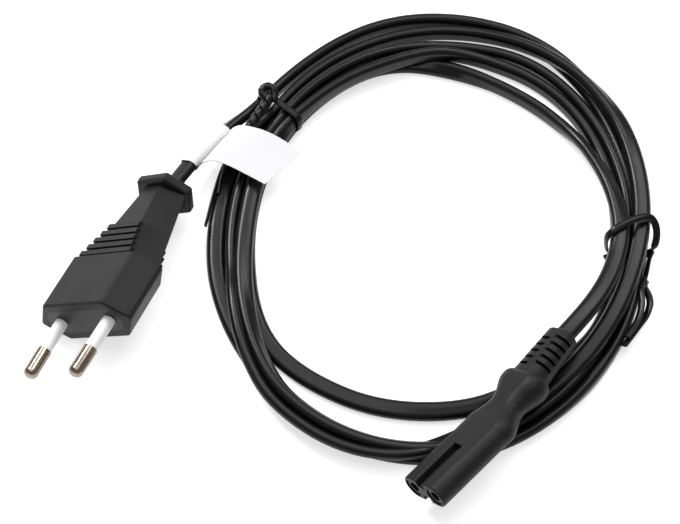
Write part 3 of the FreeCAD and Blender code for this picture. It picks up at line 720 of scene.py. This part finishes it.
@dataclass
class WireTie:
    """A flat plastic-covered wire that is bent round the coil and twisted.

    Attributes:
        width: Width of the band.
        thickness: Thickness of its edges.
        wire: Thickness over the wire.
        pitch: Length of one whole twist.
        band_resolution: Points read in each segment of a single band's spline.
        twist_resolution: Points read in each segment of a twisted pair's spline.
    """

    width: float = 2.1
    thickness: float = 0.6
    wire: float = 1.0
    pitch: float = 5.5
    band_resolution: int = 8
    twist_resolution: int = 14

    def outline(self) -> np.ndarray:
        """Outline of the band, in metres."""
        return wired_band(self.width, self.thickness, self.wire) * MM

    def band(self, name: str, route: Route, lean: Point | Route, closed: bool = False) -> bpy.types.Object:
        """A single band along a route.

        Args:
            name: Name of the object.
            route: Control points, in millimetres.
            lean: Rough way of the band's width, or several ways spread evenly along the route. What points
                along the route is taken off it.
            closed: Whether the route is a ring.

        Returns:
            The object.
        """
        points = spline_points(np.array(route) * MM, self.band_resolution, closed)
        ways = np.atleast_2d(np.array(lean, dtype=float))
        share, place = np.linspace(0.0, 1.0, len(points)), np.linspace(0.0, 1.0, len(ways))
        rough = np.column_stack([np.interp(share, place, part) for part in ways.T])
        wide = square_to(directions(points, closed), rough)
        return swept(name, points, wide, self.outline(), closed)

    def twisted(self, name: str, route: Route, spread: float) -> list[bpy.types.Object]:
        """Two bands twisted round each other along a route.

        Each strand runs round the route at the spread, one whole turn for each pitch, and the second strand
        is half a turn ahead of the first.

        Args:
            name: Name of the objects, which a number is added to.
            route: Control points, in millimetres.
            spread: Distance of each strand from the route, in millimetres.

        Returns:
            The two objects.
        """
        points = spline_points(np.array(route) * MM, self.twist_resolution)
        ahead = directions(points)
        side = unit(np.cross(ahead, UP))
        upright = np.cross(side, ahead)
        turns = lengths_along(points) / (self.pitch * MM)
        pair = []
        for number in (0, 1):
            turn = (2 * math.pi * turns + math.pi * number)[:, None]
            away = np.cos(turn) * side + np.sin(turn) * upright
            round_about = np.cos(turn) * upright - np.sin(turn) * side
            strand = points + spread * MM * away
            wide = square_to(directions(strand), round_about)
            pair.append(swept(f"{name}_{number + 1}", strand, wide, self.outline()))
        return pair


@dataclass
class LeftTie(WireTie):
    """Tie at the plug's side: a tight band, a bent-over loop, and ends that run under the paper flag.

    Attributes:
        band_route: Control points of the band round the coil.
        band_lean: Rough way of its width.
        loop_route: Control points of the twisted loop.
        loop_spread: Distance of the loop's strands from its route.
        stem_route: Control points of the twisted stem from the loop to the ends.
        stem_spread: Distance of the stem's strands from its route.
        long_end: Control points of the end that lies along the coil.
        short_end: Control points of the other end.
    """

    band_route: Route = (
        (-8.6, 77.4, 10.2), (-6.6, 75.8, 9.7), (-3.1, 73.0, 9.4), (-1.5, 71.7, 8.6), (-0.9, 71.2, 6.6),
        (-1.5, 71.7, 2.8), (-3.4, 73.2, 0.5), (-7.0, 76.2, 0.5), (-11.6, 79.9, 0.6), (-13.6, 81.5, 2.6),
        (-13.4, 81.3, 6.4), (-11.4, 79.7, 9.4),
    )
    band_lean: Point = (0.63, 0.77, 0.0)
    loop_route: Route = (
        (-10.4, 76.9, 10.8), (-12.0, 77.9, 11.1), (-12.4, 79.4, 11.5), (-11.4, 80.7, 11.8),
        (-9.9, 80.7, 11.8), (-8.8, 79.6, 11.4), (-8.6, 78.0, 10.9), (-8.8, 76.6, 10.6),
    )
    loop_spread: float = 0.7
    stem_route: Route = (
        (-9.6, 78.0, 10.9), (-11.3, 74.9, 10.6), (-13.0, 72.0, 10.4), (-14.9, 69.0, 10.0), (-17.0, 65.4, 9.2),
    )
    stem_spread: float = 1.1
    long_end: Route = (
        (-17.0, 65.4, 9.2), (-19.6, 62.0, 7.6), (-22.4, 58.6, 6.0), (-24.3, 54.0, 4.9), (-25.6, 48.4, 4.4),
        (-26.7, 43.0, 4.0), (-27.6, 38.3, 3.7),
    )
    short_end: Route = (
        (-17.0, 65.4, 9.2), (-19.2, 62.2, 8.8), (-21.6, 58.4, 8.2), (-23.0, 54.0, 7.2), (-23.8, 50.3, 6.4),
        (-24.0, 47.4, 6.0),
    )

    def build(self) -> bpy.types.Object:
        """Makes the tie.

        Returns:
            The tie as one object.
        """
        piece = join("left_wire_tie", [
            self.band("left_band", self.band_route, self.band_lean, closed=True),
            *self.twisted("left_loop", self.loop_route, self.loop_spread),
            *self.twisted("left_stem", self.stem_route, self.stem_spread),
            self.band("left_long_end", self.long_end, UP),
            self.band("left_short_end", self.short_end, UP),
        ])
        dress(piece, TIE_COVER, "tie", "twist_tie_left")
        return piece


@dataclass
class RightTie(WireTie):
    """Tie at the connector's side: a loose loop over the turns, and ends along the outside of the coil.

    Attributes:
        loop_route: Control points of the loop.
        loop_leans: Rough ways of its width, which faces outwards beside the coil.
        cut_end: Control points of the short end that comes out inside the coil.
        cut_lean: Rough way of its width.
        strip_route: Control points of the strip from the loop to the knot.
        strip_lean: Rough way of its width.
        knot_route: Control points of the twisted knot.
        knot_spread: Distance of the knot's strands from its route.
        outer_end: Control points of the end that bows out from the coil.
        inner_end: Control points of the end beside the coil.
        end_lean: Rough way of both ends' width.
    """

    loop_route: Route = (
        (88.6, 34.2, 11.0), (93.5, 36.9, 10.4), (96.8, 37.8, 9.9), (98.7, 36.6, 8.0), (99.4, 34.4, 5.6),
        (98.8, 31.6, 3.0), (96.6, 30.2, 0.7), (92.0, 30.4, 0.5), (87.2, 30.6, 0.7), (85.3, 31.0, 2.4),
        (84.7, 31.4, 5.4), (84.5, 31.6, 8.8), (86.0, 32.4, 10.7),
    )
    loop_leans: Route = ((-0.35, 0.94, 0.1),) * 2 + ((0.9, 0.3, 0.2),) * 3 + ((-0.35, 0.94, 0.1),) * 8
    cut_end: Route = ((92.0, 30.4, 0.5), (88.6, 30.4, 0.6), (86.4, 30.2, 0.9), (84.9, 29.2, 1.0))
    cut_lean: Point = (0.0, 1.0, 0.0)
    strip_route: Route = (
        (98.2, 30.6, 1.7), (97.2, 28.8, 1.9), (96.5, 26.2, 2.3), (95.7, 23.0, 2.9), (94.4, 19.0, 3.9),
    )
    strip_lean: Point = (0.45, -0.1, 0.9)
    knot_route: Route = ((95.0, 20.8, 3.5), (94.2, 18.8, 4.2), (93.6, 16.8, 4.8))
    knot_spread: float = 0.9
    outer_end: Route = (
        (94.0, 18.4, 4.3), (95.0, 17.0, 4.4), (95.8, 14.4, 4.2), (95.7, 12.4, 4.0), (94.4, 9.2, 3.8),
        (92.7, 7.0, 3.7), (90.8, 4.4, 3.9), (89.0, 1.8, 4.4), (87.4, -0.4, 4.9),
    )
    inner_end: Route = (
        (93.3, 17.7, 5.4), (93.1, 15.9, 5.7), (93.2, 12.9, 5.9), (92.7, 9.9, 5.9), (91.5, 6.6, 5.9),
        (89.7, 4.0, 5.9), (88.1, 1.7, 5.9),
    )
    end_lean: Point = (0.8, -0.3, 0.5)

    def build(self) -> bpy.types.Object:
        """Makes the tie.

        Returns:
            The tie as one object.
        """
        piece = join("right_wire_tie", [
            self.band("right_loop", self.loop_route, self.loop_leans, closed=True),
            self.band("right_cut_end", self.cut_end, self.cut_lean),
            self.band("right_strip", self.strip_route, self.strip_lean),
            *self.twisted("right_knot", self.knot_route, self.knot_spread),
            self.band("right_outer_end", self.outer_end, self.end_lean),
            self.band("right_inner_end", self.inner_end, self.end_lean),
        ])
        dress(piece, TIE_COVER, "tie", "twist_tie_right")
        return piece


@dataclass
class PaperFlag:
    """A strip of paper folded round the cord, with its two ends stuck together as a flag over the coil.

    Attributes:
        thickness: Thickness of the paper.
        clearance: Room between the cord and the paper.
        layer_share: Distance of each end from the flag's middle surface, as a share of the thickness.
        low_place: Point of the cord under the strip's edge nearest the plug, in millimetres.
        top_place: Point of the cord under its other edge.
        low_edge: Control points of the flag's edge nearest the plug, from the cord outwards.
        top_edge: Control points of its other edge.
        stations: Number of points from one edge to the other.
        resolution: Points read in each segment of an edge's spline.
    """

    thickness: float = 0.14
    clearance: float = 0.25
    layer_share: float = 0.55
    low_place: Point = (-32.8, 56.2, 8.2)
    top_place: Point = (-22.5, 69.1, 6.7)
    low_edge: Route = (
        (-29.6, 56.1, 8.3), (-28.4, 55.7, 9.6), (-26.4, 55.8, 10.7), (-23.2, 55.2, 10.6), (-17.1, 52.2, 9.9),
        (-10.9, 48.7, 9.2),
    )
    top_edge: Route = (
        (-20.8, 68.6, 7.6), (-19.9, 67.8, 9.9), (-17.6, 67.3, 11.6), (-11.4, 65.8, 11.4), (-4.6, 62.2, 10.4),
        (-0.6, 59.0, 9.5),
    )
    stations: int = 15
    resolution: int = 6

    def flag(self) -> np.ndarray:
        """Middle surface of the flag: straight lines from its low edge to its top edge.

        Returns:
            Rows of points, from the cord outwards.
        """
        low = spline_points(np.array(self.low_edge) * MM, self.resolution)
        top = spline_points(np.array(self.top_edge) * MM, self.resolution)
        share = np.linspace(0.0, 1.0, self.stations)[None, :, None]
        return low[:, None, :] * (1 - share) + top[:, None, :] * share

    def fold(self, cord: Cord, points: np.ndarray, wide: np.ndarray, seam: np.ndarray) -> np.ndarray:
        """Surface of the paper round the cord: the cord's outline, larger by the clearance.

        Args:
            cord: The cord.
            points: Points along it.
            wide: Unit vector of its width at each.
            seam: Line where the flag leaves the cord.

        Returns:
            Rings of points that start and end beside the seam and go over the cord first.
        """
        start = points[: len(points) // len(cord.turns)]
        places = np.array([self.low_place, self.top_place]) * MM
        ends = np.linalg.norm(start[None] - places[:, None], axis=2).argmin(axis=1)
        row, number = np.linspace(*ends, self.stations), np.arange(len(points))
        across = unit(np.cross(directions(points), wide))
        middle, side, rise = (
            np.column_stack([np.interp(row, number, part) for part in table.T])
            for table in (points, wide, across)
        )
        room = 2 * self.clearance + self.thickness
        outline = stadium(cord.width + room, cord.thickness + room)[:, :, None, None] * MM
        ring = middle + outline[:, 0] * side + outline[:, 1] * rise
        nearest = np.linalg.norm(ring - seam, axis=2).sum(axis=1).argmin()
        return np.roll(ring, -nearest, axis=0)[1:]

    def build(self, cord: Cord, points: np.ndarray, wide: np.ndarray) -> bpy.types.Object:
        """Makes the strip: its upper end from the flag's tip inwards, the fold, and its lower end back out.

        Args:
            cord: The cord.
            points: Points along it.
            wide: Unit vector of its width at each.

        Returns:
            The object.
        """
        flag = self.flag()
        facing = unit(np.cross(np.gradient(flag, axis=1), np.gradient(flag, axis=0)))
        lift = facing * self.thickness * MM * self.layer_share
        strip = np.concatenate([(flag - lift)[::-1], self.fold(cord, points, wide, flag[0]), flag + lift])
        outer = unit(np.cross(np.gradient(strip, axis=0), np.gradient(strip, axis=1)))
        half = outer * self.thickness * MM / 2
        rings = np.concatenate([strip + half, (strip - half)[:, ::-1]], axis=1)
        vertices = rings.reshape(-1, 3)
        faces = tube_faces(*rings.shape[:2], flipped=True)
        piece = solid("paper_flag", vertices, faces, vertices[:, :2])
        dress(piece, PAPER, "paper", "cord_label")
        return piece


@dataclass(frozen=True)
class Softbox:
    """A soft area light that faces the lead.

    Attributes:
        name: Name of the light.
        place: Where it stands, in metres.
        size: Width and height, in metres.
        power: Power in watts.
        aim: Point that it faces, in metres.
    """

    name: str
    place: Point
    size: tuple[float, float]
    power: float
    aim: Point = (0.0, 0.03, 0.0)

    def build(self) -> None:
        """Makes the light."""
        data = bpy.data.lights.new(self.name, "AREA")
        data.shape = "RECTANGLE"
        data.size, data.size_y = self.size
        data.energy = self.power
        light = bpy.data.objects.new(self.name, data)
        light.location = self.place
        light.rotation_euler = (Vector(self.aim) - Vector(self.place)).to_track_quat("-Z", "Y").to_euler()
        bpy.context.scene.collection.objects.link(light)


@dataclass
class Studio:
    """Camera, pale floor and soft light.

    Attributes:
        target: Point in the middle of the picture, in millimetres.
        distance: Distance of the camera from it, in millimetres.
        elevation: Height of the camera over the horizon, in degrees.
        lens: Focal length, in millimetres.
        floor_reach: Distance from the middle of the floor to each of its edges, in metres.
        surroundings: Strength of the white light from all round.
        boxes: The softboxes.
    """

    target: Point = (10.4, 28.6, 0.0)
    distance: float = 500.0
    elevation: float = 60.0
    lens: float = 94.02
    floor_reach: float = 2.0
    surroundings: float = 0.36
    boxes: tuple[Softbox, ...] = (
        Softbox("back_left", (-0.45, 0.6, 0.8), (0.4, 0.25), 10.0),
        Softbox("back_right", (0.4, 0.65, 0.9), (0.6, 0.35), 4.0),
        Softbox("overhead", (0.05, 0.15, 1.1), (0.8, 0.8), 4.5),
    )

    def camera(self) -> None:
        """Makes the camera at the photograph's viewing angle."""
        data = bpy.data.cameras.new("camera")
        data.lens = self.lens
        data.sensor_fit = "HORIZONTAL"
        camera = bpy.data.objects.new("camera", data)
        rise = math.radians(self.elevation)
        camera.location = (
            self.target[0] * MM,
            (self.target[1] - self.distance * math.cos(rise)) * MM,
            (self.target[2] + self.distance * math.sin(rise)) * MM,
        )
        camera.rotation_euler = (math.pi / 2 - rise, 0.0, 0.0)
        bpy.context.scene.collection.objects.link(camera)
        bpy.context.scene.camera = camera

    def floor(self) -> None:
        """Makes the floor."""
        corners = np.array([(-1, -1, 0), (1, -1, 0), (1, 1, 0), (-1, 1, 0)]) * self.floor_reach
        floor = solid("floor", corners, [[0, 1, 2, 3]], corners[:, :2])
        floor.data.materials.append(PALE_FLOOR.material())

    def build(self) -> None:
        """Makes the whole studio."""
        world = bpy.data.worlds.new("studio")
        world.use_nodes = True
        background = world.node_tree.nodes["Background"]
        background.inputs["Color"].default_value = (1.0, 1.0, 1.0, 1.0)
        background.inputs["Strength"].default_value = self.surroundings
        bpy.context.scene.world = world
        bpy.context.scene.view_settings.view_transform = "Standard"
        self.camera()
        self.floor()
        for box in self.boxes:
            box.build()


def paint_solids() -> None:
    """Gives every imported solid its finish."""
    for name, finish in NODE_FINISHES.items():
        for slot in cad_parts[name].material_slots:
            slot.material = MATERIALS[finish.name]
        LOG.info("%s: %s", name, finish.name)


def main() -> None:
    """Builds the scene."""
    logging.basicConfig(level=logging.INFO)
    paint_solids()
    cord = Cord()
    cord_piece, points, wide = cord.build()
    ties = [LeftTie().build(), RightTie().build()]
    flag = PaperFlag().build(cord, points, wide)
    for piece in (cord_piece, *ties, flag):
        LOG.info("%s: %d faces", piece.name, len(piece.data.polygons))
    Studio().build()


if __name__ == "__main__":
    main()
